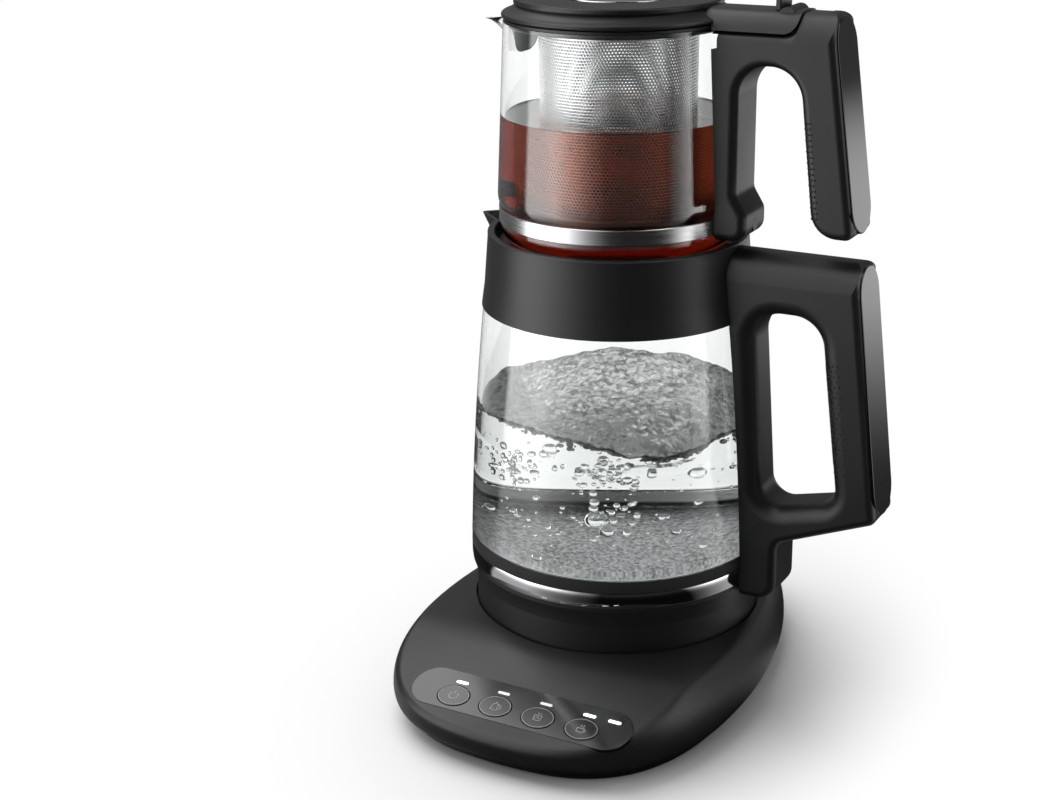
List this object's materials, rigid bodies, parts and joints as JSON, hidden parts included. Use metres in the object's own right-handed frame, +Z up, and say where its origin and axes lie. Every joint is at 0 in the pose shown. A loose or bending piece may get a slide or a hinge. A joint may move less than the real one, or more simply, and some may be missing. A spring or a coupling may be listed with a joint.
{
  "type": "automatic tea maker",
  "caption": "Tall glass kettle on a power base with a touch panel, topped by a glass teapot with infuser basket and hinged lid; upright black handles.",
  "frame": {"origin": "on the table, on the axis of the kettle", "axes": "+Z up, -Y towards the control panel at the front, +X towards the handles, -X towards the spouts"},
  "size_m": [0.2327, 0.2594, 0.363],
  "materials": {
    "black_plastic": "satin",
    "gloss_black": "polished",
    "light_pipe": "translucent",
    "clear_glass": "clear",
    "steel": "brushed",
    "screw_steel": "zinc plated",
    "chrome": "bright",
    "rubber": "soft",
    "silicone": "soft",
    "aluminium": "cast",
    "brass": "bright",
    "board": "satin",
    "component": "satin"
  },
  "bodies": {
    "base": {"base_top_cover": "black_plastic", "base_bottom_cover": "black_plastic", "base_feet": "rubber", "base_screws": "screw_steel", "control_panel": "gloss_black", "indicator_lights": "light_pipe", "control_board": "board", "button_switches": "component", "base_connector_housing": "black_plastic", "base_connector_contacts": "brass", "power_board": "board", "relay": "component", "transformer": "component", "capacitor": "component", "cord_gland": "black_plastic"},
    "power_button": {"power_button": "gloss_black"},
    "boil_button": {"boil_button": "gloss_black"},
    "brew_button": {"brew_button": "gloss_black"},
    "warm_button": {"warm_button": "gloss_black"},
    "kettle": {"kettle_glass": "clear_glass", "kettle_collar": "black_plastic", "kettle_rim_ring": "black_plastic", "kettle_collar_seal": "silicone", "kettle_skirt": "black_plastic", "kettle_underside_cover": "black_plastic", "kettle_screws": "screw_steel", "kettle_trim_ring": "chrome", "kettle_bottom_seal": "silicone", "kettle_bottom_plate": "steel", "heat_spreader": "aluminium", "heating_element": "aluminium", "temperature_sensor": "steel", "kettle_connector_housing": "black_plastic", "kettle_connector_contacts": "brass", "kettle_handle": "black_plastic", "kettle_handle_strip": "gloss_black", "kettle_grip_pad": "rubber", "kettle_handle_screws": "screw_steel"},
    "teapot": {"teapot_glass": "clear_glass", "teapot_band": "steel", "teapot_handle": "black_plastic", "teapot_handle_strip": "gloss_black", "teapot_grip_pad": "rubber", "teapot_handle_screw": "screw_steel", "lid_hinge_pin": "steel", "infuser_basket": "steel", "infuser_rim": "black_plastic", "spout_strainer": "black_plastic"},
    "lid": {"lid_cover": "black_plastic", "lid_cap": "chrome", "lid_plug": "black_plastic", "lid_seal": "silicone", "lid_thumb_lever": "black_plastic", "lid_screws": "screw_steel"}
  },
  "joints": [
    {"name": "kettle_lift", "type": "slide", "parent": "base", "child": "kettle", "axis": [0, 0, 1], "range_m": [0, 0.1]},
    {"name": "teapot_lift", "type": "slide", "parent": "kettle", "child": "teapot", "axis": [0, 0, 1], "range_m": [0, 0.1]},
    {"name": "lid_hinge", "type": "hinge", "parent": "teapot", "child": "lid", "pos_m": [0.0882, 0, 0.3455], "axis": [0, 1, 0], "range_deg": [0, 65]},
    {"name": "power_press", "type": "slide", "parent": "base", "child": "power_button", "axis": [0, 0.3007, -0.9537], "range_m": [0, 0.0006], "stiffness_N_per_m": 600, "springref_m": -0.001},
    {"name": "boil_press", "type": "slide", "parent": "base", "child": "boil_button", "axis": [0, 0.3007, -0.9537], "range_m": [0, 0.0006], "stiffness_N_per_m": 600, "springref_m": -0.001},
    {"name": "brew_press", "type": "slide", "parent": "base", "child": "brew_button", "axis": [0, 0.3007, -0.9537], "range_m": [0, 0.0006], "stiffness_N_per_m": 600, "springref_m": -0.001},
    {"name": "warm_press", "type": "slide", "parent": "base", "child": "warm_button", "axis": [0, 0.3007, -0.9537], "range_m": [0, 0.0006], "stiffness_N_per_m": 600, "springref_m": -0.001}
  ]
}
